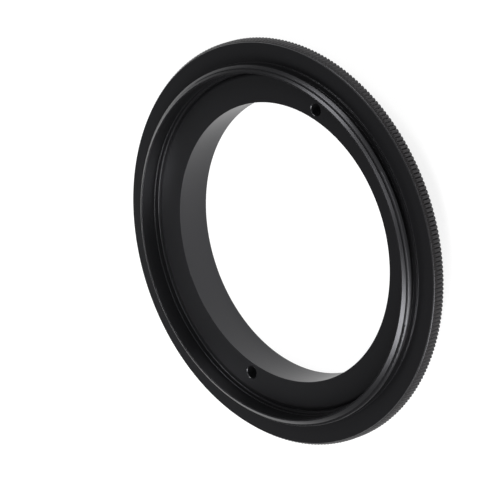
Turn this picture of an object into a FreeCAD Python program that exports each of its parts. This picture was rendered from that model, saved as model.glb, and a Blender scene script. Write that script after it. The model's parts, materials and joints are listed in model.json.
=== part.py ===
"""Macro reverse ring: one turned ring of black anodised aluminium.

The front carries a short outside filter thread round a recessed face. The flange is
knurled for grip. The rear collar carries three bayonet claws that lock into a camera.
The ring lies flat with its axis upright, its claws below and its thread above.
Lengths are in millimetres, angles in degrees, and the origin is on the axis at the rear end.
"""
import FreeCAD, Part

import math
import os

import Sketcher

NODE = "reverse_ring"
SHEET = "Sizes"
VOLUME_STEP = 0.01
MATCH_REACH = 0.01

# Driving dimensions: widths and walls add up outward from the bore, lengths up from the rear end
SIZES = (
    ("bore_diameter", 44.8, "the light opening"),
    ("collar_wall", 3.0, "of the bayonet collar, out from the bore"),
    ("collar_length", 4.8, "from the rear end to the rear seat"),
    ("collar_lead", 0.45, "bevel at the rear end of the collar"),
    ("claw_count", 3, "bayonet claws, evenly spaced"),
    ("claw_height", 1.4, "how far a claw stands out from the collar"),
    ("claw_gap", 1.9, "from the rear seat to the claws, where the camera's springs pull"),
    ("claw_thickness", 1.4, "along the axis"),
    ("claw_span", 58, "angle that one claw covers"),
    ("claw_root", 0.6, "how deep the claw's foot lies in the collar wall"),
    ("claw_lead", 0.25, "bevel on the claw's outer rear edge"),
    ("ramp_length", 3.2, "of the slope at the claw's leading end"),
    ("ramp_drop", 0.5, "of the same slope"),
    ("relief_margin", 0.5, "from the claws' reach out to the edge of the rear seat"),
    ("seat_relief", 0.25, "depth of the floor inside the seat, so that only the seat touches"),
    ("flange_thickness", 2.0, "from the rear seat to the front face"),
    ("recess_depth", 0.8, "from the front face down to the recessed face"),
    ("face_width", 4.55, "of the recessed face, out from the bore"),
    ("face_bevel", 0.3, "at the outer edge of the recessed face"),
    ("gutter_width", 0.75, "of the groove between the recessed face and the lip"),
    ("gutter_depth", 0.4, "of that groove below the recessed face"),
    ("lip_wall", 1.25, "from the lip's inside out to the thread's crests"),
    ("lip_height", 2.45, "of the lip in front of the front face"),
    ("lip_land", 0.15, "width of the flat front edge of the lip"),
    ("ledge_width", 0.12, "of the small step at the foot of the lip's inside wall"),
    ("ledge_height", 0.45, "of that step above the recessed face"),
    ("thread_nose", 0.9, "length of the bevel in front of the thread"),
    ("thread_run", 0.35, "length of full thread blank behind that bevel"),
    ("neck_depth", 0.65, "of the groove behind the thread, in from the crests"),
    ("neck_slope", 0.36, "length of the slope from the thread down to that groove"),
    ("shoulder_step", 0.05, "how far the low shoulder at the lip's foot stands past the crests"),
    ("shoulder_height", 0.25, "of that shoulder"),
    ("flange_width", 3.55, "of the flange, out from the thread's crests to the rim"),
    ("rim_bevel", 0.62, "at the front of the knurl"),
    ("knurl_count", 291, "straight V grooves round the rim"),
    ("knurl_depth", 0.25, "of one V groove"),
    ("knurl_angle", 90, "between the sides of one V groove"),
    ("spanner_inset", 1.65, "from the bore out to the middle of a spanner hole"),
    ("spanner_diameter", 2.0, "of one spanner hole"),
    ("spanner_bevel", 0.15, "round the hole's mouth"),
    ("spanner_depth", 2.0, "of one spanner hole"),
    ("slot_inset", 2.3, "from the seat's inner edge out to the middle of the locking pin's slot"),
    ("slot_width", 2.6, "of that slot across its length"),
    ("slot_length", 3.6, "of that slot, along the radius"),
    ("slot_depth", 1.2, "of that slot in the rear seat"),
    ("index_inset", 2.3, "from the rim in to the index dimple in the rear seat"),
    ("index_bearing", -60, "of the index dimple round the axis"),
    ("index_diameter", 1.8, "of the index dimple"),
    ("index_depth", 0.3, "of the index dimple"),
)


class Size:
    """A number together with the formula that ties it to the sheet."""

    def __init__(self, number, formula):
        self.number = number
        self.formula = formula

    def __add__(self, other):
        return Size(self.number + other.number, f"({self.formula} + {other.formula})")

    def __sub__(self, other):
        return Size(self.number - other.number, f"({self.formula} - {other.formula})")

    def __mul__(self, factor):
        return Size(self.number * factor, f"({self.formula} * {factor})")

    def __truediv__(self, divisor):
        return Size(self.number / divisor, f"({self.formula} / {divisor})")

    def __neg__(self):
        return Size(-self.number, f"(0 - {self.formula})")


def cosine(angle):
    return Size(math.cos(math.radians(angle.number)), f"cos({angle.formula} * 1 deg)")


def sine(angle):
    return Size(math.sin(math.radians(angle.number)), f"sin({angle.formula} * 1 deg)")


def product(first, second):
    return Size(first.number * second.number, f"({first.formula} * {second.formula})")


def make_sheet(doc):
    """The sheet of driving dimensions, one row each: name, value, what it is."""
    sheet = doc.addObject("Spreadsheet::Sheet", SHEET)
    for row, (name, value, meaning) in enumerate(SIZES, start=1):
        sheet.set(f"A{row}", name)
        sheet.set(f"B{row}", str(value))
        sheet.set(f"C{row}", meaning)
        sheet.setAlias(f"B{row}", name)
    doc.recompute()


def own_datum(body, role):
    """The body's own plane or axis of that role."""
    for feature in body.Origin.OriginFeatures:
        if feature.Role == role:
            return feature
    raise RuntimeError(f"{body.Label} has no {role}")


def new_sketch(body, name, role, level=None):
    """A sketch on one of the body's own planes, lifted by a bound level."""
    sketch = body.newObject("Sketcher::SketchObject", name)
    sketch.AttachmentSupport = [(own_datum(body, role), "")]
    sketch.MapMode = "FlatFace"
    if level is not None:
        sketch.setExpression("AttachmentOffset.Base.z", level.formula)
    return sketch


def bind(sketch, constraint, size):
    """Adds the constraint and ties its value to the sheet."""
    number = sketch.addConstraint(constraint)
    sketch.setExpression(f"Constraints[{number}]", size.formula)


def bind_point(sketch, line, end, across, up):
    """Ties one end of a line, or a circle's centre, to its two bound distances."""
    bind(sketch, Sketcher.Constraint("DistanceX", -1, 1, line, end, across.number), across)
    bind(sketch, Sketcher.Constraint("DistanceY", -1, 1, line, end, up.number), up)


def draw_outline(sketch, points):
    """A closed outline of straight edges with every corner bound to the sheet."""
    count = len(points)
    corners = [FreeCAD.Vector(across.number, up.number, 0) for across, up in points]
    for index in range(count):
        sketch.addGeometry(Part.LineSegment(corners[index], corners[(index + 1) % count]), False)
    for index in range(count):
        sketch.addConstraint(Sketcher.Constraint("Coincident", index, 2, (index + 1) % count, 1))
    for index, (across, up) in enumerate(points):
        bind_point(sketch, index, 1, across, up)


def draw_circle(sketch, across, up, radius):
    """A circle with its centre and radius bound to the sheet."""
    centre = FreeCAD.Vector(across.number, up.number, 0)
    axis = FreeCAD.Vector(0, 0, 1)
    circle = sketch.addGeometry(Part.Circle(centre, axis, radius.number), False)
    bind(sketch, Sketcher.Constraint("Radius", circle, radius.number), radius)
    bind_point(sketch, circle, 3, across, up)


def draw_sector(sketch, inner, outer, span):
    """A piece of a flat ring that starts on the first axis and covers the bound angle."""
    centre = FreeCAD.Vector(0, 0, 0)
    axis = FreeCAD.Vector(0, 0, 1)
    turn = math.radians(span.number)
    far = FreeCAD.Vector(math.cos(turn), math.sin(turn), 0)
    outside = Part.ArcOfCircle(Part.Circle(centre, axis, outer.number), 0, turn)
    inside = Part.ArcOfCircle(Part.Circle(centre, axis, inner.number), 0, turn)
    near_edge = Part.LineSegment(
        FreeCAD.Vector(inner.number, 0, 0), FreeCAD.Vector(outer.number, 0, 0))
    far_edge = Part.LineSegment(far * inner.number, far * outer.number)
    outer_arc = sketch.addGeometry(outside, False)
    inner_arc = sketch.addGeometry(inside, False)
    near_line = sketch.addGeometry(near_edge, False)
    far_line = sketch.addGeometry(far_edge, False)
    for arc in (outer_arc, inner_arc):
        sketch.addConstraint(Sketcher.Constraint("Coincident", arc, 3, -1, 1))
    sketch.addConstraint(Sketcher.Constraint("Coincident", near_line, 1, inner_arc, 1))
    sketch.addConstraint(Sketcher.Constraint("Coincident", near_line, 2, outer_arc, 1))
    sketch.addConstraint(Sketcher.Constraint("Coincident", far_line, 1, inner_arc, 2))
    sketch.addConstraint(Sketcher.Constraint("Coincident", far_line, 2, outer_arc, 2))
    sketch.addConstraint(Sketcher.Constraint("PointOnObject", near_line, 1, -1))
    sketch.addConstraint(Sketcher.Constraint("PointOnObject", near_line, 2, -1))
    bind(sketch, Sketcher.Constraint("Radius", outer_arc, outer.number), outer)
    bind(sketch, Sketcher.Constraint("Radius", inner_arc, inner.number), inner)
    sketch.addConstraint(Sketcher.Constraint("PointOnObject", -1, 1, far_line))
    slant = Size(turn, f"{span.formula} * 1 deg")
    bind(sketch, Sketcher.Constraint("Angle", far_line, slant.number), slant)


def draw_oblong(sketch, place, width, length):
    """A round-ended slot along the second axis, its middle at the bound place."""
    radius = width / 2
    axis = FreeCAD.Vector(0, 0, 1)
    low = place - length / 2 + radius
    high = place + length / 2 - radius
    low_centre = FreeCAD.Vector(0, low.number, 0)
    high_centre = FreeCAD.Vector(0, high.number, 0)
    side = FreeCAD.Vector(radius.number, 0, 0)
    top = sketch.addGeometry(Part.ArcOfCircle(
        Part.Circle(high_centre, axis, radius.number), 0, math.pi), False)
    left = sketch.addGeometry(Part.LineSegment(high_centre - side, low_centre - side), False)
    foot = sketch.addGeometry(Part.ArcOfCircle(
        Part.Circle(low_centre, axis, radius.number), math.pi, 2 * math.pi), False)
    right = sketch.addGeometry(Part.LineSegment(low_centre + side, high_centre + side), False)
    for first, second in ((top, left), (left, foot), (foot, right), (right, top)):
        sketch.addConstraint(Sketcher.Constraint("Tangent", first, 2, second, 1))
    sketch.addConstraint(Sketcher.Constraint("PointOnObject", top, 3, -2))
    sketch.addConstraint(Sketcher.Constraint("PointOnObject", foot, 3, -2))
    bind(sketch, Sketcher.Constraint("Radius", top, radius.number), radius)
    bind(sketch, Sketcher.Constraint("DistanceY", -1, 1, top, 3, high.number), high)
    bind(sketch, Sketcher.Constraint("DistanceY", -1, 1, foot, 3, low.number), low)


def repeat(body, name, features, count):
    """The features again round the upright axis, evenly spaced."""
    pattern = body.newObject("PartDesign::PolarPattern", name)
    pattern.Originals = features
    pattern.Axis = (own_datum(body, "Z_Axis"), [""])
    pattern.Angle = 360
    pattern.Occurrences = int(count.number)
    pattern.setExpression("Occurrences", count.formula)
    body.Tip = pattern
    return pattern


def turn_blank(body, level, radius, size):
    """The turned section, from the rear end of the bore outward and back over the lip."""
    sketch = new_sketch(body, "section", "XZ_Plane")
    draw_outline(sketch, (
        (radius["bore"], level["rear"]),
        (radius["collar"] - size["collar_lead"], level["rear"]),
        (radius["collar"], size["collar_lead"]),
        (radius["collar"], level["seat"] + size["seat_relief"]),
        (radius["seat"], level["seat"] + size["seat_relief"]),
        (radius["seat"], level["seat"]),
        (radius["rim"], level["seat"]),
        (radius["rim"], level["front"] - size["rim_bevel"]),
        (radius["rim"] - size["rim_bevel"], level["front"]),
        (radius["shoulder"], level["front"]),
        (radius["shoulder"], level["front"] + size["shoulder_height"]),
        (radius["neck"], level["front"] + size["shoulder_height"]),
        (radius["neck"], level["thread"] - size["thread_run"] - size["neck_slope"]),
        (radius["thread"], level["thread"] - size["thread_run"]),
        (radius["thread"], level["thread"]),
        (radius["lip"] + size["lip_land"], level["lip"]),
        (radius["lip"], level["lip"]),
        (radius["lip"], level["face"] + size["ledge_height"]),
        (radius["lip"] - size["ledge_width"], level["face"] + size["ledge_height"]),
        (radius["lip"] - size["ledge_width"], level["face"] - size["gutter_depth"]),
        (radius["face"], level["face"] - size["gutter_depth"]),
        (radius["face"], level["face"] - size["face_bevel"]),
        (radius["face"] - size["face_bevel"], level["face"]),
        (radius["bore"], level["face"]),
    ))
    blank = body.newObject("PartDesign::Revolution", "blank")
    blank.Profile = sketch
    blank.ReferenceAxis = (sketch, ["V_Axis"])
    blank.Angle = 360
    body.Tip = blank


def mill_claws(doc, body, level, radius, size):
    """The bayonet claws, each with a sloped leading end and a bevelled rear edge."""
    rear = level["seat"] - size["claw_gap"] - size["claw_thickness"]
    front = level["seat"] - size["claw_gap"]
    sketch = new_sketch(body, "claw_outline", "XY_Plane", rear)
    draw_sector(sketch, radius["collar"] - size["claw_root"], radius["claw"], size["claw_span"])
    claw = body.newObject("PartDesign::Pad", "claw")
    claw.Profile = sketch
    claw.setExpression("Length", size["claw_thickness"].formula)
    body.Tip = claw
    slope = new_sketch(body, "ramp_outline", "YZ_Plane", radius["collar"])
    zero = size["ramp_length"] * 0
    draw_outline(slope, (
        (zero, front - size["ramp_drop"]),
        (size["ramp_length"], front),
        (size["ramp_length"], front + size["ramp_drop"]),
        (-size["ramp_drop"], front + size["ramp_drop"]),
        (-size["ramp_drop"], front - size["ramp_drop"]),
    ))
    ramp = body.newObject("PartDesign::Pocket", "ramp")
    ramp.Profile = slope
    ramp.Reversed = True
    ramp.setExpression("Length", (size["claw_height"] + size["claw_root"]).formula)
    body.Tip = ramp
    claws = repeat(body, "claws", [claw, ramp], size["claw_count"])
    doc.recompute()
    bevel = body.newObject("PartDesign::Chamfer", "claw_bevel")
    bevel.Base = (claws, outer_edges(claws.Shape, radius["claw"].number, rear.number))
    bevel.setExpression("Size", size["claw_lead"].formula)
    body.Tip = bevel


def outer_edges(shape, radius, level):
    """Names of the level circular edges of one radius about the axis."""
    names = []
    for number, edge in enumerate(shape.Edges, start=1):
        round_edge = isinstance(edge.Curve, Part.Circle)
        if not round_edge:
            continue
        same_size = abs(edge.Curve.Radius - radius) < MATCH_REACH
        same_level = abs(edge.Curve.Center.z - level) < MATCH_REACH
        if same_size and same_level:
            names.append(f"Edge{number}")
    return names


def drill_spanner_holes(doc, body, level, radius, size):
    """Two blind holes in the recessed face, opposite each other, for a pin spanner."""
    sketch = new_sketch(body, "spanner_places", "XY_Plane", level["face"])
    out = radius["bore"] + size["spanner_inset"]
    zero = out * 0
    for place in (out, -out):
        draw_circle(sketch, place, zero, size["spanner_diameter"] / 2)
    doc.recompute()
    hole = body.newObject("PartDesign::Hole", "spanner_holes")
    hole.Profile = sketch
    hole.Threaded = False
    hole.DepthType = "Dimension"
    hole.DrillPoint = "Flat"
    hole.setExpression("Diameter", size["spanner_diameter"].formula)
    hole.setExpression("Depth", size["spanner_depth"].formula)
    hole.HoleCutType = "Countersink"
    hole.HoleCutCustomValues = True
    mouth = size["spanner_diameter"] + size["spanner_bevel"] * 2
    hole.setExpression("HoleCutDiameter", mouth.formula)
    hole.HoleCutCountersinkAngle = 90
    body.Tip = hole


def mill_rear_seat(body, level, radius, size):
    """The locking pin's slot and the index dimple in the rear seat."""
    slot_sketch = new_sketch(body, "slot_outline", "XY_Plane", level["seat"])
    draw_oblong(slot_sketch, radius["seat"] + size["slot_inset"], size["slot_width"], size["slot_length"])
    slot = body.newObject("PartDesign::Pocket", "lock_slot")
    slot.Profile = slot_sketch
    slot.Reversed = True
    slot.setExpression("Length", size["slot_depth"].formula)
    body.Tip = slot
    index_sketch = new_sketch(body, "index_outline", "XY_Plane", level["seat"])
    out = radius["rim"] - size["index_inset"]
    across = product(out, cosine(size["index_bearing"]))
    up = product(out, sine(size["index_bearing"]))
    draw_circle(index_sketch, across, up, size["index_diameter"] / 2)
    index = body.newObject("PartDesign::Pocket", "index_dimple")
    index.Profile = index_sketch
    index.Reversed = True
    index.setExpression("Length", size["index_depth"].formula)
    body.Tip = index


def roll_knurl(body, level, radius, size):
    """Straight V grooves across the rim, one drawn and the rest repeated."""
    sketch = new_sketch(body, "groove_outline", "XY_Plane", level["seat"])
    half = size["knurl_angle"] / 2
    depth = size["knurl_depth"]
    zero = depth * 0
    spread = Size(math.tan(math.radians(half.number)), f"tan({half.formula} * 1 deg)")
    reach = product(depth * 2, spread)
    draw_outline(sketch, (
        (radius["rim"] - depth, zero),
        (radius["rim"] + depth, reach),
        (radius["rim"] + depth, -reach),
    ))
    groove = body.newObject("PartDesign::Pocket", "groove")
    groove.Profile = sketch
    groove.Reversed = True
    groove.setExpression("Length", (size["flange_thickness"] + depth).formula)
    body.Tip = groove
    repeat(body, "knurl", [groove], size["knurl_count"])


def check(doc, body):
    """Stop if a feature failed, or if it changed nothing, before a file is written."""
    for item in doc.Objects:
        if "Invalid" in item.State or "Error" in item.State:
            raise RuntimeError(f"{item.Label} failed: {item.State}")
    volume = 0.0
    for feature in body.Group:
        if feature.isDerivedFrom("PartDesign::Feature"):
            change = abs(feature.Shape.Volume - volume)
            if change < VOLUME_STEP:
                raise RuntimeError(f"{feature.Label} changes nothing")
            volume = feature.Shape.Volume
            print(f"{feature.Label}: {volume:.2f} mm3")
    shape = body.Shape
    if shape.isNull() or not shape.isValid() or len(shape.Solids) != 1:
        raise RuntimeError(f"{body.Label} is not one sound solid")


def main():
    doc = FreeCAD.newDocument("macro_reverse_ring")
    make_sheet(doc)
    size = {name: Size(value, f"{SHEET}.{name}") for name, value, meaning in SIZES}

    # Radii about the axis
    radius = {"bore": size["bore_diameter"] / 2}
    radius["collar"] = radius["bore"] + size["collar_wall"]
    radius["claw"] = radius["collar"] + size["claw_height"]
    radius["seat"] = radius["claw"] + size["relief_margin"]
    radius["face"] = radius["bore"] + size["face_width"]
    radius["lip"] = radius["face"] + size["gutter_width"]
    radius["thread"] = radius["lip"] + size["lip_wall"]
    radius["neck"] = radius["thread"] - size["neck_depth"]
    radius["shoulder"] = radius["thread"] + size["shoulder_step"]
    radius["rim"] = radius["thread"] + size["flange_width"]

    # Levels along the axis, from the rear end up
    level = {"rear": size["collar_length"] * 0, "seat": size["collar_length"]}
    level["front"] = level["seat"] + size["flange_thickness"]
    level["face"] = level["front"] - size["recess_depth"]
    level["lip"] = level["front"] + size["lip_height"]
    level["thread"] = level["lip"] - size["thread_nose"]

    body = doc.addObject("PartDesign::Body", NODE)
    body.Label = NODE
    turn_blank(body, level, radius, size)
    mill_claws(doc, body, level, radius, size)
    drill_spanner_holes(doc, body, level, radius, size)
    mill_rear_seat(body, level, radius, size)
    roll_knurl(body, level, radius, size)
    body.Placement = FreeCAD.Placement()
    doc.recompute()

    check(doc, body)
    os.makedirs("parts", exist_ok=True)
    body.Shape.exportStep(os.path.join("parts", f"{body.Label}.step"))


main()
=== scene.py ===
"""A macro reverse ring in black anodised aluminium, on a pale floor.

The ring is turned, knurled, threaded and milled in the order that a machinist works in:
a section is spun round the axis, its corners are broken, the knurl is pressed into the rim,
and the claws, spanner holes, locking slot and thread follow. Lengths are in metres.
"""
import json
import math

import bmesh
import bpy
from bpy.props import FloatProperty, FloatVectorProperty, IntProperty, PointerProperty
from mathutils import Matrix, Vector


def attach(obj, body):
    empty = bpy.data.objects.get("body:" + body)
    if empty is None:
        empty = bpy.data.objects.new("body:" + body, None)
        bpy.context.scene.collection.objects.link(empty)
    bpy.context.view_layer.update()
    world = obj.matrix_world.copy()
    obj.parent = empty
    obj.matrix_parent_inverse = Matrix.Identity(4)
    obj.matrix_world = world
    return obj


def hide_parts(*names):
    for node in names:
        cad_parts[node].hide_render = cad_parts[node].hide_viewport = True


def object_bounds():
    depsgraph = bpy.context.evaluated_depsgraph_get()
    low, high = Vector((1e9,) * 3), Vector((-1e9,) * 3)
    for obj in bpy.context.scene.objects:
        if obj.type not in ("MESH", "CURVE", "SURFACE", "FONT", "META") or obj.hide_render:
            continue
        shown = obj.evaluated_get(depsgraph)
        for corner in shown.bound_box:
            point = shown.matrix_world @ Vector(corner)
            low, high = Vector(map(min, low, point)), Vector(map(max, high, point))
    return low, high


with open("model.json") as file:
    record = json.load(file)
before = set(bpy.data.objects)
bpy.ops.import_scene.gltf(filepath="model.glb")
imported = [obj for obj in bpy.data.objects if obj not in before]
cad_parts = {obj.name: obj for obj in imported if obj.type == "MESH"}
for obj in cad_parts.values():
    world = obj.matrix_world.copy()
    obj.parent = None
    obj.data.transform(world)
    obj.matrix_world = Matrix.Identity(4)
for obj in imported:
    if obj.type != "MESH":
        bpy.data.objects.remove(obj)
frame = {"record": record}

bl_info = {
    "name": "Macro reverse ring",
    "version": (1, 0, 0),
    "blender": (4, 5, 0),
    "location": "View3D > Sidebar > Ring",
    "description": "Models a turned ring with a filter thread and a bayonet",
    "category": "Object",
}

MM = 0.001
CAD_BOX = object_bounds()
MOUNTS = {mount["name"]: mount for mount in frame["record"]["mounts"]}
NODE = "reverse_ring"
BODY = "root"

FULL_TURN = 2 * math.pi
WELD = 0.001 * MM
TOUCH = 0.004 * MM
KNURL_PARTS = 8
CORNER_PARTS = 3
NOSE_PARTS = 8
CLAW_COUNT = 3
CLAW_PARTS = 2
THREAD_STEPS = 180
SPANNER_STEPS = 48
SLOT_STEPS = 49
INDEX_STEPS = 40
SHARP_ANGLE = math.radians(38)
CLAW_CORNER = math.radians(25)

# What the knurling tool raises at the upper end of each groove
BURR = 0.03 * MM
# How far the thread's cutter stands out past the crests
CUTTER_REACH = 0.04 * MM
# Widths of the broken edges
BREAKS = {
    "bore": 0.15 * MM,
    "collar": 0.08 * MM,
    "seat": 0.06 * MM,
    "shoulder": 0.04 * MM,
    "neck": 0.02 * MM,
    "nose": 0.06 * MM,
    "lip": 0.05 * MM,
    "ledge": 0.03 * MM,
    "gutter": 0.1 * MM,
    "face": 0.04 * MM,
    "face_inside": 0.03 * MM,
    "claw": 0.06 * MM,
}

# The finish: how it varies over the surface
OXIDE_IOR = 1.47
OXIDE_TINT = (0.94, 0.94, 1.0, 1)
OXIDE_ROUGHNESS = 0.28
MARKS_ROUGHNESS = 0.1
KNURL_ROUGHNESS = 0.08
DARKEST_TONE = 0.6
TONE_RANGE = 0.8
WEAR_STRENGTH = 0.25
MARKS_LEAN = 0.618
MICROMETRE = 0.001 * MM

# The stage
FLOOR_COLOUR = (0.22, 0.22, 0.22, 1)
FLOOR_GLOW = 0.87
FLOOR_GAP = 0.02 * MM
WALL_TOP = (0.02, 0.16)
PHOTO_WIDTH = 500
PHOTO_MIDDLE = (282.42, 243.05)
SENSOR_WIDTH = 36


def mount_radius(name):
    """Radius of a mount in the frame's record."""
    return MOUNTS[name]["dims"]["r_mm"] * MM


def mount_height(name):
    """Height of a mount in the frame's record."""
    return MOUNTS[name]["pos_m"][2]


def length(name, about, millimetres):
    """A length that a user may change, given in millimetres."""
    return FloatProperty(name=name, description=about, default=millimetres * MM, unit="LENGTH",
                         precision=5)


def angle(name, about, degrees):
    """An angle that a user may change, given in degrees."""
    return FloatProperty(name=name, description=about, default=math.radians(degrees),
                         unit="ROTATION")


def amount(name, about, value):
    """A plain number that a user may change."""
    return FloatProperty(name=name, description=about, default=value)


def colour(name, about, value):
    """A colour that a user may change, as linear red, green and blue."""
    return FloatVectorProperty(name=name, description=about, default=value, subtype="COLOR",
                               size=3)


class RingSizes(bpy.types.PropertyGroup):
    """Sizes of the ring, from the frame where it states them."""

    bore_radius: length("Bore", "Radius of the light opening", mount_radius("light_bore") / MM)
    crest_radius: length("Thread", "Radius over the thread's crests",
                         mount_radius("filter_thread") / MM)
    rim_radius: length("Rim", "Radius over the knurl", CAD_BOX[1].x / MM)
    seat_height: length("Seat", "Height of the rear seat", mount_height("rear_seat") / MM)
    front_height: length("Front", "Height of the flange's front face",
                         mount_height("front_face") / MM)
    face_height: length("Recess", "Height of the recessed face",
                        mount_height("spanner_holes") / MM)
    lip_height: length("Lip", "Height of the lip's front edge", CAD_BOX[1].z / MM)
    collar_wall: length("Collar wall", "Wall of the bayonet collar", 3.0)
    collar_lead: length("Collar lead", "Bevel at the collar's rear end", 0.45)
    claw_height: length("Claw", "How far a claw stands out from the collar", 1.4)
    claw_gap: length("Claw gap", "From the rear seat to the claws", 1.9)
    claw_thickness: length("Claw thickness", "Along the axis", 1.4)
    claw_span: angle("Claw span", "Angle that one claw covers", 58)
    claw_root: length("Claw root", "How deep a claw's foot lies in the collar", 0.6)
    claw_lead: length("Claw lead", "Bevel on a claw's outer rear edge", 0.25)
    ramp_length: length("Ramp", "Slope at a claw's leading end", 3.2)
    ramp_drop: length("Ramp drop", "How far that slope falls", 0.5)
    relief_margin: length("Relief margin", "From the claws' reach to the seat's inner edge", 0.5)
    seat_relief: length("Seat relief", "Depth of the floor inside the seat", 0.25)
    face_width: length("Face", "Width of the recessed face", 4.55)
    face_bevel: length("Face bevel", "Width of the bevel at the recessed face's outer edge", 0.5)
    face_bevel_drop: length("Face bevel drop", "Height of that bevel", 0.16)
    gutter_width: length("Gutter", "Width of the groove inside the lip", 0.75)
    gutter_depth: length("Gutter depth", "Depth of that groove", 0.4)
    ledge_width: length("Ledge", "Step at the foot of the lip's inside wall", 0.12)
    ledge_height: length("Ledge height", "Height of that step above the recessed face", 0.45)
    lip_land: length("Lip land", "Width of the lip's flat front edge", 0.22)
    nose: length("Nose", "From the lip's edge to the rear end of the thread's crests", 1.25)
    nose_start: angle("Nose start", "Tilt of the rounded nose at the lip's edge", 38)
    nose_end: angle("Nose end", "Tilt of the rounded nose at the thread's crests", 48)
    neck_depth: length("Neck", "Depth of the groove behind the thread", 0.65)
    neck_slope: length("Neck slope", "Length of the slope down to that groove", 0.36)
    shoulder_step: length("Shoulder", "How far the shoulder stands past the crests", 0.05)
    shoulder_height: length("Shoulder height", "Height of the shoulder at the lip's foot", 0.25)
    rim_bevel: length("Rim bevel", "Height of the bevel at the front of the knurl", 0.62)
    rim_bevel_width: length("Rim bevel width", "Width of that bevel", 0.42)
    rear_break: length("Rear break", "Broken edge at the rear of the knurl", 0.06)
    knurl_count: IntProperty(name="Knurl", description="Grooves round the rim", default=291)
    knurl_depth: length("Knurl depth", "Depth of one groove", 0.25)
    pitch: length("Pitch", "Pitch of the filter thread", 0.75)
    thread_depth: length("Thread depth", "Depth of the thread's groove", 0.7)
    thread_floor: length("Thread floor", "Width of the flat at the groove's floor", 0.158)
    thread_flank: angle("Thread flank", "Of the groove's sides to its middle plane", 12)
    thread_bearing: angle("Thread bearing", "Where the thread's groove meets the neck", 127.4)
    spanner_radius: length("Spanner hole", "Radius of one spanner hole",
                           MOUNTS["spanner_holes"]["dims"]["hole_r_mm"])
    spanner_place: length("Spanner place", "From the axis to a spanner hole",
                          MOUNTS["spanner_holes"]["dims"]["pcd_mm"] / 2)
    spanner_depth: length("Spanner depth", "Depth of one spanner hole", 2.0)
    spanner_bevel: length("Spanner bevel", "Bevel round the hole's mouth", 0.1)
    slot_inset: length("Slot inset", "From the seat's inner edge to the slot's middle", 2.3)
    slot_width: length("Slot width", "Across the locking pin's slot", 2.6)
    slot_length: length("Slot length", "Along the locking pin's slot", 3.6)
    slot_depth: length("Slot depth", "Depth of the locking pin's slot", 1.2)
    index_inset: length("Index inset", "From the rim to the index dimple's middle", 2.3)
    index_bearing: angle("Index bearing", "Of the index dimple round the axis", -60)
    index_radius: length("Index", "Radius of the index dimple", 0.9)
    index_depth: length("Index depth", "Depth of the index dimple", 0.3)


class RingFinish(bpy.types.PropertyGroup):
    """Colours of the ring's finish."""

    dye: colour("Dye", "Colour of the dyed oxide", (0.0055, 0.0055, 0.006))
    knurl_dye: colour("Knurl dye", "Colour of the oxide on the rim", (0.0066, 0.0055, 0.0052))
    rubbed: colour("Rubbed", "Colour where the oxide is rubbed thin", (0.06, 0.055, 0.052))
    index_paint: colour("Index paint", "Colour of the index mark", (0.62, 0.6, 0.56))


class StageSettings(bpy.types.PropertyGroup):
    """Where the camera stands and how bright the lights are."""

    bearing: angle("Bearing", "Of the camera round the axis", 132)
    elevation: angle("Elevation", "Of the camera above the floor", 43.53)
    roll: angle("Roll", "Of the camera about its own line of sight", -108.28)
    distance: FloatProperty(name="Distance", description="From the camera to the rim's plane",
                            default=0.9207, unit="LENGTH")
    lens: amount("Lens", "Focal length in millimetres on a 36 mm frame", 425.0)
    world_light: amount("World", "Strength of the even light from above", 0.12)
    wall_light: amount("Wall", "Strength of the studio wall low down all round", 0.65)


# Selecting and shaping

def edit(piece, kind):
    """Opens a piece alone for editing its vertices, edges or faces."""
    if bpy.context.object and bpy.context.object.mode == "EDIT":
        bpy.ops.object.mode_set(mode="OBJECT")
    bpy.ops.object.select_all(action="DESELECT")
    piece.select_set(True)
    bpy.context.view_layer.objects.active = piece
    bpy.ops.object.mode_set(mode="EDIT")
    bpy.ops.mesh.select_mode(type=kind)


def finish_edit():
    """Closes the piece that is open for editing."""
    bpy.ops.object.mode_set(mode="OBJECT")


def radius_of(place):
    """Distance of a place from the ring's axis."""
    return math.hypot(place.x, place.y)


def select_points(piece, wanted):
    """Selects the vertices whose place passes the test."""
    bpy.ops.mesh.select_all(action="DESELECT")
    mesh = bmesh.from_edit_mesh(piece.data)
    for vertex in mesh.verts:
        vertex.select_set(wanted(vertex.co))
    mesh.select_flush(False)
    bmesh.update_edit_mesh(piece.data)


def select_circles(piece, circles):
    """Selects the edges that run round the axis on any of the circles (radius, height)."""
    bpy.ops.mesh.select_all(action="DESELECT")
    mesh = bmesh.from_edit_mesh(piece.data)
    on_circle = {}
    for vertex in mesh.verts:
        out, up = radius_of(vertex.co), vertex.co.z
        for number, (radius, height) in enumerate(circles):
            if abs(out - radius) < TOUCH and abs(up - height) < TOUCH:
                on_circle[vertex.index] = number
    for edge in mesh.edges:
        first, second = (on_circle.get(vertex.index) for vertex in edge.verts)
        edge.select_set(first is not None and first == second)
    bmesh.update_edit_mesh(piece.data)


def start_piece(name, place):
    """A new piece that is a single point, left open for editing with that point selected."""
    if bpy.context.object and bpy.context.object.mode == "EDIT":
        bpy.ops.object.mode_set(mode="OBJECT")
    bpy.ops.object.select_all(action="DESELECT")
    bpy.ops.mesh.primitive_plane_add(size=MM, location=(0, 0, 0))
    piece = bpy.context.object
    piece.name = name
    piece.data.name = name
    bpy.ops.object.mode_set(mode="EDIT")
    bpy.ops.mesh.select_mode(type="VERT")
    bpy.ops.mesh.select_all(action="SELECT")
    bpy.ops.mesh.merge(type="CENTER")
    bpy.ops.transform.translate(value=place)
    return piece


def draw_line(points):
    """Extrudes the selected point along the others, given as (radius, height)."""
    for (out, up), (next_out, next_up) in zip(points, points[1:]):
        step = (next_out - out, 0, next_up - up)
        bpy.ops.mesh.extrude_region_move(TRANSFORM_OT_translate={"value": step})


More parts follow.
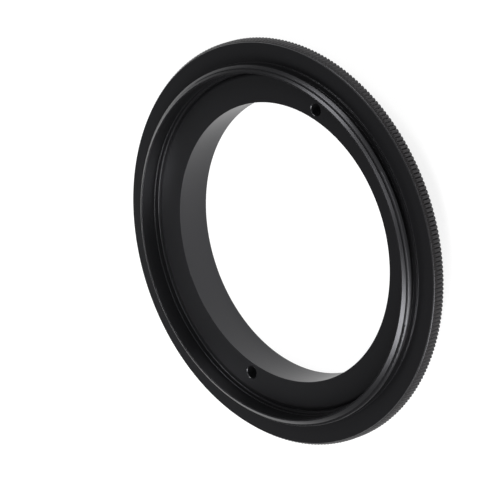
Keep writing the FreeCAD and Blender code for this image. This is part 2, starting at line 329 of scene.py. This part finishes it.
def draw_loop(name, points):
    """A piece that is a closed outline in the plane of the axis, left open for editing."""
    piece = start_piece(name, (points[0][0], 0, points[0][1]))
    draw_line(list(points) + [points[0]])
    bpy.ops.mesh.select_all(action="SELECT")
    bpy.ops.mesh.remove_doubles(threshold=WELD)
    return piece


def face_outwards():
    """Welds what meets and turns every face outwards."""
    bpy.ops.mesh.select_all(action="SELECT")
    bpy.ops.mesh.remove_doubles(threshold=WELD)
    bpy.ops.mesh.normals_make_consistent(inside=False)


def close_ends():
    """Puts a face in each open end of a piece, and turns every face outwards."""
    bpy.ops.mesh.select_all(action="DESELECT")
    bpy.ops.mesh.select_mode(type="EDGE")
    bpy.ops.mesh.select_non_manifold()
    bpy.ops.mesh.edge_face_add()
    face_outwards()


def spin_round(steps, turn=FULL_TURN):
    """Spins the outline counterclockwise seen from above: the tool turns against its axis."""
    bpy.ops.mesh.select_all(action="SELECT")
    bpy.ops.mesh.spin(steps=steps, angle=turn, center=(0, 0, 0), axis=(0, 0, -1))


def turned(name, points, steps):
    """A solid of revolution about the upright axis through the origin."""
    piece = draw_loop(name, points)
    spin_round(steps)
    face_outwards()
    finish_edit()
    return piece


def bevelled_circles(piece, corners):
    """Breaks the corners of a turned piece, given as (radius, height, break)."""
    edit(piece, "EDGE")
    for width in sorted({corner[2] for corner in corners if corner[2]}):
        circles = [(out, up) for out, up, wide in corners if wide == width]
        select_circles(piece, circles)
        bpy.ops.mesh.bevel(offset=width, segments=CORNER_PARTS, affect="EDGES",
                           clamp_overlap=True)
    finish_edit()


def moved(piece, offset=(0, 0, 0), turn=0.0):
    """Shifts a piece, then turns it about the upright axis, in its own mesh."""
    edit(piece, "VERT")
    bpy.ops.mesh.select_all(action="SELECT")
    bpy.ops.transform.translate(value=offset)
    finish_edit()
    piece.data.transform(Matrix.Rotation(turn, 4, "Z"))
    return piece


def joined(pieces):
    """Several pieces as one object."""
    bpy.ops.object.select_all(action="DESELECT")
    for piece in pieces:
        piece.select_set(True)
    bpy.context.view_layer.objects.active = pieces[0]
    bpy.ops.object.join()
    return pieces[0]


def copied(piece, turn):
    """A copy of a piece, with its own mesh, turned about the axis."""
    bpy.ops.object.select_all(action="DESELECT")
    piece.select_set(True)
    bpy.context.view_layer.objects.active = piece
    bpy.ops.object.duplicate()
    return moved(bpy.context.object, turn=turn)


def combine(piece, tool, operation):
    """Adds a tool's shape to a piece, or cuts it away, and removes the tool."""
    bpy.ops.object.select_all(action="DESELECT")
    bpy.context.view_layer.objects.active = piece
    piece.select_set(True)
    size_before = max(piece.dimensions)
    bpy.ops.object.modifier_add(type="BOOLEAN")
    modifier = piece.modifiers[-1]
    modifier.operation = operation
    modifier.solver = "EXACT"
    modifier.object = tool
    bpy.ops.object.modifier_apply(modifier=modifier.name)
    bpy.data.objects.remove(tool)
    edit(piece, "VERT")
    face_outwards()
    bpy.ops.mesh.dissolve_degenerate(threshold=WELD)
    finish_edit()
    if max(piece.dimensions) < size_before - WELD:
        raise RuntimeError(f"the {operation.lower()} ate the piece {piece.name}")


def smooth(piece):
    """Smooth shading that keeps flat faces flat and sharp edges sharp."""
    bpy.ops.object.select_all(action="DESELECT")
    bpy.context.view_layer.objects.active = piece
    piece.select_set(True)
    bpy.ops.object.shade_smooth_by_angle(angle=SHARP_ANGLE)
    bpy.ops.object.modifier_add(type="WEIGHTED_NORMAL")
    modifier = piece.modifiers[-1]
    modifier.mode = "FACE_AREA"
    modifier.weight = 100
    modifier.keep_sharp = True
    bpy.ops.object.modifier_apply(modifier=modifier.name)


# The ring's own forms

def section(size):
    """Corners of the turned section, each with the width of its broken edge."""
    bore = size.bore_radius
    collar = bore + size.collar_wall
    seat = collar + size.claw_height + size.relief_margin
    face = bore + size.face_width
    lip = face + size.gutter_width
    ledge = lip - size.ledge_width
    crest = size.crest_radius
    neck = crest - size.neck_depth
    shoulder = crest + size.shoulder_step
    rim = size.rim_radius
    seat_up = size.seat_height
    front_up = size.front_height
    face_up = size.face_height
    top = size.lip_height
    thread_low = top - size.nose
    return (
        (bore, 0, BREAKS["bore"]),
        (collar - size.collar_lead, 0, BREAKS["collar"]),
        (collar, size.collar_lead, BREAKS["collar"]),
        (collar, seat_up + size.seat_relief, BREAKS["collar"]),
        (seat, seat_up + size.seat_relief, BREAKS["seat"]),
        (seat, seat_up, BREAKS["seat"]),
        (rim - size.knurl_depth - size.rear_break * 2, seat_up, 0),
        (rim - size.rear_break, seat_up, 0),
        (rim, seat_up + size.rear_break, 0),
        *rim_slope(size),
        (rim - size.rim_bevel_width, front_up, 0),
        (shoulder, front_up, BREAKS["shoulder"]),
        (shoulder, front_up + size.shoulder_height, BREAKS["neck"]),
        (neck, front_up + size.shoulder_height, BREAKS["neck"]),
        (neck, thread_low - size.neck_slope, 0),
        (crest, thread_low, 0),
        *rounded_nose(size, lip + size.lip_land),
        (lip, top, BREAKS["lip"]),
        (lip, face_up + size.ledge_height, BREAKS["ledge"]),
        (ledge, face_up + size.ledge_height, BREAKS["ledge"]),
        (ledge, face_up - size.gutter_depth, BREAKS["gutter"]),
        (face, face_up - size.gutter_depth, BREAKS["gutter"]),
        (face, face_up - size.face_bevel_drop, BREAKS["face"]),
        (face - size.face_bevel, face_up, 0),
        (bore, face_up, BREAKS["face_inside"]),
    )


def rounded_nose(size, edge):
    """Points from the thread's crests round to the lip's flat edge."""
    start, end = size.nose_start, size.nose_end
    bend = (size.crest_radius - edge) / (math.sin(end) - math.sin(start))
    tilts = [end + (start - end) * part / NOSE_PARTS for part in range(NOSE_PARTS + 1)]
    arc = [(edge + bend * (math.sin(tilt) - math.sin(start)),
            size.lip_height + bend * (math.cos(tilt) - math.cos(start))) for tilt in tilts]
    return [(*arc[0], BREAKS["nose"])] + [(out, up, 0) for out, up in arc[1:]]


def rim_slope(size):
    """Points up the front slope of the rim, one for each depth of the knurl, then its burr."""
    part = FULL_TURN * size.rim_radius / size.knurl_count / KNURL_PARTS
    steepness = size.rim_bevel / size.rim_bevel_width
    start = size.front_height - size.rim_bevel
    drops = [0, size.knurl_depth - 2 * part, size.knurl_depth - part, size.knurl_depth,
             size.knurl_depth + BURR]
    slope = [(size.rim_radius - drop, start + drop * steepness) for drop in drops]
    out, up = slope[-1]
    slope.append((out - BURR * 2, up + BURR))
    return [(*point, 0) for point in slope]


def knurled(piece, size, corners):
    """Presses straight V grooves into the rim: each rim face is divided and drawn in."""
    rim = size.rim_radius
    low = size.seat_height
    high = size.front_height
    floor = rim - size.knurl_depth
    circles = [(out, up) for out, up, _ in corners
               if out >= floor - TOUCH and low <= up < high]
    edit(piece, "EDGE")
    select_circles(piece, circles)
    bpy.ops.mesh.subdivide(number_cuts=KNURL_PARTS - 1)
    bpy.ops.mesh.select_mode(type="VERT")
    step = FULL_TURN / size.knurl_count / KNURL_PARTS
    pitch = FULL_TURN * rim / size.knurl_count
    for part in range(KNURL_PARTS):
        away = min(part, KNURL_PARTS - part) / KNURL_PARTS * pitch
        bottom = floor + away
        for out, up in circles:
            if bottom < out - WELD:
                def in_groove(place, part=part, out=out, up=up):
                    at_part = round(math.atan2(place.y, place.x) / step) % KNURL_PARTS == part
                    at_circle = abs(radius_of(place) - out) < TOUCH and abs(place.z - up) < TOUCH
                    return at_part and at_circle
                select_points(piece, in_groove)
                draw = bottom / out
                bpy.ops.transform.resize(value=(draw, draw, 1), center_override=(0, 0, 0))
    finish_edit()


def claw_set(size):
    """Three bayonet claws, each with a sloped leading end and a bevelled rear edge."""
    collar = size.bore_radius + size.collar_wall
    inner = collar - size.claw_root
    outer = collar + size.claw_height
    front = size.seat_height - size.claw_gap
    rear = front - size.claw_thickness
    piece = draw_loop("claw", (
        (inner, rear), (outer - size.claw_lead, rear), (outer, rear + size.claw_lead),
        (outer, front), (inner, front)))
    degrees = round(math.degrees(size.claw_span))
    spin_round(degrees, size.claw_span)
    close_ends()
    slope = Vector((0, -size.ramp_drop, size.ramp_length)).normalized()
    bpy.ops.mesh.bisect(plane_co=(0, size.ramp_length, front), plane_no=slope, use_fill=False,
                        clear_outer=True)
    close_ends()
    bpy.ops.mesh.select_all(action="DESELECT")
    bpy.ops.mesh.edges_select_sharp(sharpness=CLAW_CORNER)
    bpy.ops.mesh.bevel(offset=BREAKS["claw"], segments=CLAW_PARTS, affect="EDGES",
                       clamp_overlap=True)
    finish_edit()
    turns = [FULL_TURN * number / CLAW_COUNT for number in range(1, CLAW_COUNT)]
    return joined([piece] + [copied(piece, turn) for turn in turns])


def spanner_drill(size, side):
    """The shape that drills one spanner hole with its bevelled mouth."""
    mouth = size.spanner_radius + size.spanner_bevel
    drill = turned("drill", (
        (0, -size.spanner_depth), (size.spanner_radius, -size.spanner_depth),
        (size.spanner_radius, -size.spanner_bevel),
        (mouth + size.spanner_bevel, size.spanner_bevel), (0, size.spanner_bevel)), SPANNER_STEPS)
    return moved(drill, (side * size.spanner_place, 0, size.face_height))


def slot_mill(size):
    """The round-ended shape that mills the locking pin's slot."""
    stretch = size.slot_length - size.slot_width
    seat = size.bore_radius + size.collar_wall + size.claw_height + size.relief_margin
    mill = turned("mill", (
        (0, -size.slot_depth), (size.slot_width / 2, -size.slot_depth),
        (size.slot_width / 2, size.slot_depth), (0, size.slot_depth)), SLOT_STEPS)
    edit(mill, "VERT")
    select_points(mill, lambda place: place.y > TOUCH)
    bpy.ops.transform.translate(value=(0, stretch, 0))
    finish_edit()
    middle = seat + size.slot_inset - stretch / 2
    return moved(mill, (0, middle, size.seat_height))


def index_drill(size):
    """The flat-ended shape that sinks the index dimple."""
    drill = turned("index_drill", (
        (0, -size.index_depth), (size.index_radius, -size.index_depth),
        (size.index_radius, size.index_depth), (0, size.index_depth)), INDEX_STEPS)
    place = size.rim_radius - size.index_inset
    return moved(drill, (place, 0, size.seat_height), size.index_bearing)


def thread_tool(size):
    """The helical shape that cuts the thread's groove, from the neck out over the nose."""
    root = size.crest_radius - size.thread_depth
    out = size.crest_radius + CUTTER_REACH
    flat = size.thread_floor / 2
    spread = flat + (out - root) * math.tan(size.thread_flank)
    start = size.front_height + size.shoulder_height + spread + TOUCH
    turns = (size.lip_height + spread - start) / size.pitch
    tool = draw_loop("thread_tool", (
        (root, start - flat), (out, start - spread), (out, start + spread), (root, start + flat)))
    finish_edit()
    bpy.ops.object.modifier_add(type="SCREW")
    screw = tool.modifiers[-1]
    screw.axis = "Z"
    screw.angle = FULL_TURN * turns
    screw.screw_offset = size.pitch * turns
    screw.steps = round(THREAD_STEPS * turns)
    screw.render_steps = screw.steps
    screw.use_smooth_shade = False
    bpy.ops.object.modifier_apply(modifier=screw.name)
    edit(tool, "EDGE")
    close_ends()
    finish_edit()
    return moved(tool, turn=size.thread_bearing)


# Materials

def material(name):
    """A new material, with its nodes, their links and its shader."""
    new = bpy.data.materials.new(name)
    new.use_nodes = True
    nodes = new.node_tree.nodes
    return new, nodes, new.node_tree.links, nodes["Principled BSDF"]


def wire(links, source, target):
    """Links a socket to another, or sets it where the source is a plain value."""
    if isinstance(source, bpy.types.NodeSocket):
        links.new(source, target)
    else:
        target.default_value = source


def math_node(tree, operation, first, second=0.0, clamp=False):
    node = tree.nodes.new("ShaderNodeMath")
    node.operation = operation
    node.use_clamp = clamp
    wire(tree.links, first, node.inputs[0])
    wire(tree.links, second, node.inputs[1])
    return node.outputs[0]


def between(tree, value, low, high):
    """Rises smoothly from 0 where the value is low to 1 where it is high."""
    node = tree.nodes.new("ShaderNodeMapRange")
    node.interpolation_type = "SMOOTHSTEP"
    wire(tree.links, value, node.inputs["Value"])
    node.inputs["From Min"].default_value = low
    node.inputs["From Max"].default_value = high
    return node.outputs["Result"]


def blend(tree, factor, first, second):
    """The first colour where the factor is 0, the second where it is 1."""
    node = tree.nodes.new("ShaderNodeMix")
    node.data_type = "RGBA"
    wire(tree.links, factor, node.inputs["Factor"])
    wire(tree.links, first, node.inputs["A"])
    wire(tree.links, second, node.inputs["B"])
    return node.outputs["Result"]


def new_group(name, inputs, outputs):
    """An empty node group with named float sockets, and its input and output nodes."""
    tree = bpy.data.node_groups.new(name, "ShaderNodeTree")
    tree.interface.new_socket("Place", in_out="INPUT", socket_type="NodeSocketVector")
    for socket_name, default in inputs:
        socket = tree.interface.new_socket(socket_name, in_out="INPUT",
                                           socket_type="NodeSocketFloat")
        socket.default_value = default
    for socket_name in outputs:
        tree.interface.new_socket(socket_name, in_out="OUTPUT", socket_type="NodeSocketFloat")
    return tree, tree.nodes.new("NodeGroupInput"), tree.nodes.new("NodeGroupOutput")


def use_group(nodes, links, tree, place, **values):
    """Places a group in a material with its own values."""
    node = nodes.new("ShaderNodeGroup")
    node.node_tree = tree
    links.new(place, node.inputs["Place"])
    for name, value in values.items():
        node.inputs[name].default_value = value
    return node


def radius_node(tree, place):
    """Distance from the ring's axis, and the height."""
    parts = tree.nodes.new("ShaderNodeSeparateXYZ")
    tree.links.new(place, parts.inputs[0])
    squares = [math_node(tree, "MULTIPLY", parts.outputs[axis], parts.outputs[axis])
               for axis in (0, 1)]
    return math_node(tree, "SQRT", math_node(tree, "ADD", *squares)), parts.outputs[2]


def turning_marks():
    """Fine circles that a cutting tool leaves: rings on faces, hoops on walls."""
    tree, start, end = new_group("turning_marks", (("Spacing", 0.2 * MM), ("Height", 1.0)),
                                 ("Height", "Mask"))
    out, up = radius_node(tree, start.outputs["Place"])
    along = math_node(tree, "ADD", out, math_node(tree, "MULTIPLY", up, MARKS_LEAN))
    noise = tree.nodes.new("ShaderNodeTexNoise")
    noise.noise_dimensions = "1D"
    noise.inputs["Scale"].default_value = 1
    noise.inputs["Detail"].default_value = 3
    tree.links.new(math_node(tree, "DIVIDE", along, start.outputs["Spacing"]), noise.inputs["W"])
    tree.links.new(noise.outputs["Fac"], end.inputs["Mask"])
    tree.links.new(math_node(tree, "MULTIPLY", noise.outputs["Fac"], start.outputs["Height"]),
                   end.inputs["Height"])
    return tree


def oxide_grain():
    """The faint tooth of a matt oxide or paint."""
    tree, start, end = new_group("oxide_grain", (("Size", 0.1 * MM), ("Height", 1.0)),
                                 ("Height", "Mask"))
    noise = tree.nodes.new("ShaderNodeTexNoise")
    noise.inputs["Detail"].default_value = 2
    tree.links.new(start.outputs["Place"], noise.inputs["Vector"])
    tree.links.new(math_node(tree, "DIVIDE", 1.0, start.outputs["Size"]), noise.inputs["Scale"])
    tree.links.new(noise.outputs["Fac"], end.inputs["Mask"])
    tree.links.new(math_node(tree, "MULTIPLY", noise.outputs["Fac"], start.outputs["Height"]),
                   end.inputs["Height"])
    return tree


def handling_wear():
    """Where fingers rub: the knurl's tips, in patches."""
    tree, start, end = new_group("handling_wear", (("Radius", 32.5 * MM), ("Reach", 0.08 * MM),
                                                   ("Patch", 4 * MM)), ("Mask",))
    out = radius_node(tree, start.outputs["Place"])[0]
    depth = math_node(tree, "SUBTRACT", start.outputs["Radius"], out)
    near = math_node(tree, "DIVIDE", depth, start.outputs["Reach"])
    tip = math_node(tree, "SUBTRACT", 1.0, near, clamp=True)
    noise = tree.nodes.new("ShaderNodeTexNoise")
    noise.inputs["Detail"].default_value = 4
    tree.links.new(start.outputs["Place"], noise.inputs["Vector"])
    tree.links.new(math_node(tree, "DIVIDE", 1.0, start.outputs["Patch"]), noise.inputs["Scale"])
    patch = between(tree, noise.outputs["Fac"], 0.4, 0.7)
    tree.links.new(math_node(tree, "MULTIPLY", tip, patch), end.inputs["Mask"])
    return tree


def rounded_bump(nodes, links, shader, height):
    """Shades the fine height, given in micrometres."""
    bump = nodes.new("ShaderNodeBump")
    bump.inputs["Strength"].default_value = 1
    bump.inputs["Distance"].default_value = MICROMETRE
    links.new(height, bump.inputs["Height"])
    links.new(bump.outputs["Normal"], shader.inputs["Normal"])


def anodised_aluminium(size, finish):
    """Satin black oxide over turned metal, warmer on the knurl, with a painted index dimple."""
    new, nodes, links, shader = material("anodised_aluminium")
    tree = new.node_tree
    place = nodes.new("ShaderNodeTexCoord").outputs["Object"]
    marks = use_group(nodes, links, turning_marks(), place, Spacing=0.22 * MM, Height=1.6)
    grain = use_group(nodes, links, oxide_grain(), place, Size=0.11 * MM, Height=0.9)
    wear = use_group(nodes, links, handling_wear(), place, Radius=size.rim_radius,
                     Reach=0.1 * MM, Patch=5 * MM)
    out = radius_node(tree, place)[0]
    rim = between(tree, out, size.rim_radius - 0.45 * MM, size.rim_radius - 0.2 * MM)
    dye = blend(tree, rim, (*finish.dye, 1), (*finish.knurl_dye, 1))
    tone = math_node(tree, "MULTIPLY_ADD", grain.outputs["Mask"], TONE_RANGE)
    tone.node.inputs[2].default_value = DARKEST_TONE
    shade = nodes.new("ShaderNodeVectorMath")
    shade.operation = "SCALE"
    links.new(dye, shade.inputs[0])
    links.new(tone, shade.inputs["Scale"])
    worn = blend(tree, math_node(tree, "MULTIPLY", wear.outputs["Mask"], WEAR_STRENGTH),
                 shade.outputs["Vector"], (*finish.rubbed, 1))
    dimple = size.rim_radius - size.index_inset
    middle = (dimple * math.cos(size.index_bearing), dimple * math.sin(size.index_bearing),
              size.seat_height + size.index_depth)
    away = nodes.new("ShaderNodeVectorMath")
    away.operation = "DISTANCE"
    links.new(place, away.inputs[0])
    away.inputs[1].default_value = middle
    ragged = math_node(tree, "MULTIPLY_ADD", grain.outputs["Mask"], 0.12 * MM)
    links.new(away.outputs["Value"], ragged.node.inputs[2])
    paint = math_node(tree, "SUBTRACT", 1.0, between(tree, ragged, size.index_radius - 0.02 * MM,
                                                     size.index_radius + 0.06 * MM))
    colour_out = blend(tree, paint, worn, (*finish.index_paint, 1))
    links.new(colour_out, shader.inputs["Base Color"])
    rough = math_node(tree, "MULTIPLY_ADD", marks.outputs["Mask"], MARKS_ROUGHNESS)
    rough.node.inputs[2].default_value = OXIDE_ROUGHNESS
    rougher = math_node(tree, "MULTIPLY_ADD", rim, KNURL_ROUGHNESS)
    links.new(rough, rougher.node.inputs[2])
    links.new(rougher, shader.inputs["Roughness"])
    shader.inputs["IOR"].default_value = OXIDE_IOR
    shader.inputs["Specular Tint"].default_value = OXIDE_TINT
    rounded_bump(nodes, links, shader,
                 math_node(tree, "ADD", marks.outputs["Height"], grain.outputs["Height"]))
    return new


# Operators

class RingTurn(bpy.types.Operator):
    """Turns, knurls, mills, drills and threads the ring"""

    bl_idname = "ring.turn"
    bl_label = "Turn the ring"

    def execute(self, context):
        size = context.scene.ring_sizes
        corners = section(size)
        ring = turned("ring", [(out, up) for out, up, _ in corners], size.knurl_count)
        bevelled_circles(ring, corners)
        knurled(ring, size, corners)
        combine(ring, claw_set(size), "UNION")
        combine(ring, joined([spanner_drill(size, 1), spanner_drill(size, -1), slot_mill(size),
                              index_drill(size), thread_tool(size)]), "DIFFERENCE")
        smooth(ring)
        ring.data.materials.append(anodised_aluminium(size, context.scene.ring_finish))
        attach(ring, BODY)
        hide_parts(NODE)
        return {"FINISHED"}


class RingStage(bpy.types.Operator):
    """Lays the floor, sets the lights and stands the camera"""

    bl_idname = "ring.stage"
    bl_label = "Set the stage"

    def execute(self, context):
        settings = context.scene.ring_stage
        lay_floor()
        light_world(context.scene, settings)
        set_lamps()
        stand_camera(context.scene, settings, context.scene.ring_sizes)
        context.scene.view_settings.view_transform = "Standard"
        return {"FINISHED"}


def lay_floor():
    """A wide pale floor at the ring's foot, seen only from above."""
    bpy.ops.object.select_all(action="DESELECT")
    bpy.ops.mesh.primitive_plane_add(size=6, location=(0, 0, -FLOOR_GAP))
    floor = bpy.context.object
    floor.name = "floor"
    new, nodes, links, shader = material("floor")
    tree = new.node_tree
    shader.inputs["Base Color"].default_value = FLOOR_COLOUR
    shader.inputs["Roughness"].default_value = 0.9
    shader.inputs["Specular IOR Level"].default_value = 0.0
    path = nodes.new("ShaderNodeLightPath").outputs
    mirrored = math_node(tree, "MAXIMUM", path["Is Glossy Ray"], path["Is Transmission Ray"])
    seen = math_node(tree, "MAXIMUM", path["Is Camera Ray"], mirrored)
    glow = nodes.new("ShaderNodeEmission")
    links.new(math_node(tree, "MULTIPLY", seen, FLOOR_GLOW), glow.inputs["Strength"])
    lit = nodes.new("ShaderNodeAddShader")
    links.new(shader.outputs[0], lit.inputs[0])
    links.new(glow.outputs[0], lit.inputs[1])
    one_sided = nodes.new("ShaderNodeMixShader")
    links.new(nodes.new("ShaderNodeNewGeometry").outputs["Backfacing"], one_sided.inputs[0])
    links.new(lit.outputs[0], one_sided.inputs[1])
    links.new(nodes.new("ShaderNodeBsdfTransparent").outputs[0], one_sided.inputs[2])
    links.new(one_sided.outputs[0], nodes["Material Output"].inputs["Surface"])
    floor.data.materials.append(new)


def light_world(scene, settings):
    """Even dim light from above, and the pale studio wall low down all round."""
    world = bpy.data.worlds.new("studio")
    world.use_nodes = True
    tree = world.node_tree
    up = tree.nodes.new("ShaderNodeSeparateXYZ")
    tree.links.new(tree.nodes.new("ShaderNodeTexCoord").outputs["Generated"], up.inputs[0])
    high = between(tree, up.outputs["Z"], *WALL_TOP)
    strength = math_node(tree, "MULTIPLY_ADD", high, settings.world_light - settings.wall_light)
    strength.node.inputs[2].default_value = settings.wall_light
    back = tree.nodes["Background"]
    back.inputs["Color"].default_value = (1, 1, 1, 1)
    tree.links.new(strength, back.inputs["Strength"])
    scene.world = world


LAMPS = (
    # name, bearing and elevation in degrees, distance, width and height in metres, watts,
    # spread in degrees, bearing and distance from the axis of the point that it is aimed at
    ("lower_soft_box", 60, 46, 0.5, 0.2, 0.32, 3.3, 180, 0, 0),
    ("upper_soft_box", 206, 42, 0.5, 0.18, 0.2, 1.3, 180, 0, 0),
    ("middle_soft_box", 150, 58, 0.5, 0.24, 0.09, 0.45, 180, 0, 0),
    ("side_soft_box", -48, 70, 0.35, 0.06, 0.06, 0.0022, 9, -48, 36 * MM),
)


def set_lamps():
    """Soft boxes round the ring, aimed at its middle, and one at its far side."""
    for (name, bearing, elevation, distance, width, height, watts, spread, aim_bearing,
         aim_out) in LAMPS:
        bpy.ops.object.select_all(action="DESELECT")
        bpy.ops.object.light_add(type="AREA")
        lamp = bpy.context.object
        lamp.name = name
        lamp.data.shape = "RECTANGLE"
        lamp.data.size = width
        lamp.data.size_y = height
        lamp.data.energy = watts
        lamp.data.spread = math.radians(spread)
        aim = Matrix.Rotation(math.radians(aim_bearing), 4, "Z") @ Vector((aim_out, 0, 0))
        turn = (Matrix.Rotation(math.radians(bearing + 90), 4, "Z")
                @ Matrix.Rotation(math.radians(90 - elevation), 4, "X"))
        lamp.matrix_world = Matrix.Translation(aim) @ turn @ Matrix.Translation((0, 0, distance))


def stand_camera(scene, settings, size):
    """The camera of the photograph: the ring's middle falls on its own pixel."""
    bpy.ops.object.select_all(action="DESELECT")
    bpy.ops.object.camera_add()
    camera = bpy.context.object
    camera.name = "camera"
    camera.data.lens = settings.lens
    camera.data.sensor_width = SENSOR_WIDTH
    camera.data.clip_start = 0.01
    camera.data.clip_end = 20
    focal = settings.lens / SENSOR_WIDTH * PHOTO_WIDTH
    turn = (Matrix.Rotation(settings.bearing + math.pi / 2, 4, "Z")
            @ Matrix.Rotation(math.pi / 2 - settings.elevation, 4, "X")
            @ Matrix.Rotation(settings.roll, 4, "Z"))
    across, down = ((pixel - PHOTO_WIDTH / 2) / focal for pixel in PHOTO_MIDDLE)
    sight = Vector((across, -down, -1)) * settings.distance
    middle = Vector((0, 0, size.front_height - size.rim_bevel))
    camera.matrix_world = Matrix.Translation(middle - turn.to_3x3() @ sight) @ turn
    scene.camera = camera


class RingPanel(bpy.types.Panel):
    """Lists the ring's steps and sizes in the 3D view's sidebar"""

    bl_idname = "VIEW3D_PT_ring"
    bl_label = "Macro reverse ring"
    bl_space_type = "VIEW_3D"
    bl_region_type = "UI"
    bl_category = "Ring"

    def draw(self, context):
        for operator in OPERATORS:
            self.layout.operator(operator.bl_idname)
        scene = context.scene
        for group in (scene.ring_sizes, scene.ring_finish, scene.ring_stage):
            for name in group.__annotations__:
                self.layout.prop(group, name)


OPERATORS = (RingTurn, RingStage)
CLASSES = (RingSizes, RingFinish, StageSettings) + OPERATORS + (RingPanel,)


def register():
    for new_class in CLASSES:
        bpy.utils.register_class(new_class)
    bpy.types.Scene.ring_sizes = PointerProperty(type=RingSizes)
    bpy.types.Scene.ring_finish = PointerProperty(type=RingFinish)
    bpy.types.Scene.ring_stage = PointerProperty(type=StageSettings)


def unregister():
    del bpy.types.Scene.ring_stage
    del bpy.types.Scene.ring_finish
    del bpy.types.Scene.ring_sizes
    for old_class in reversed(CLASSES):
        bpy.utils.unregister_class(old_class)


def main():
    register()
    bpy.ops.ring.stage()
    bpy.ops.ring.turn()


if __name__ == "__main__":
    main()
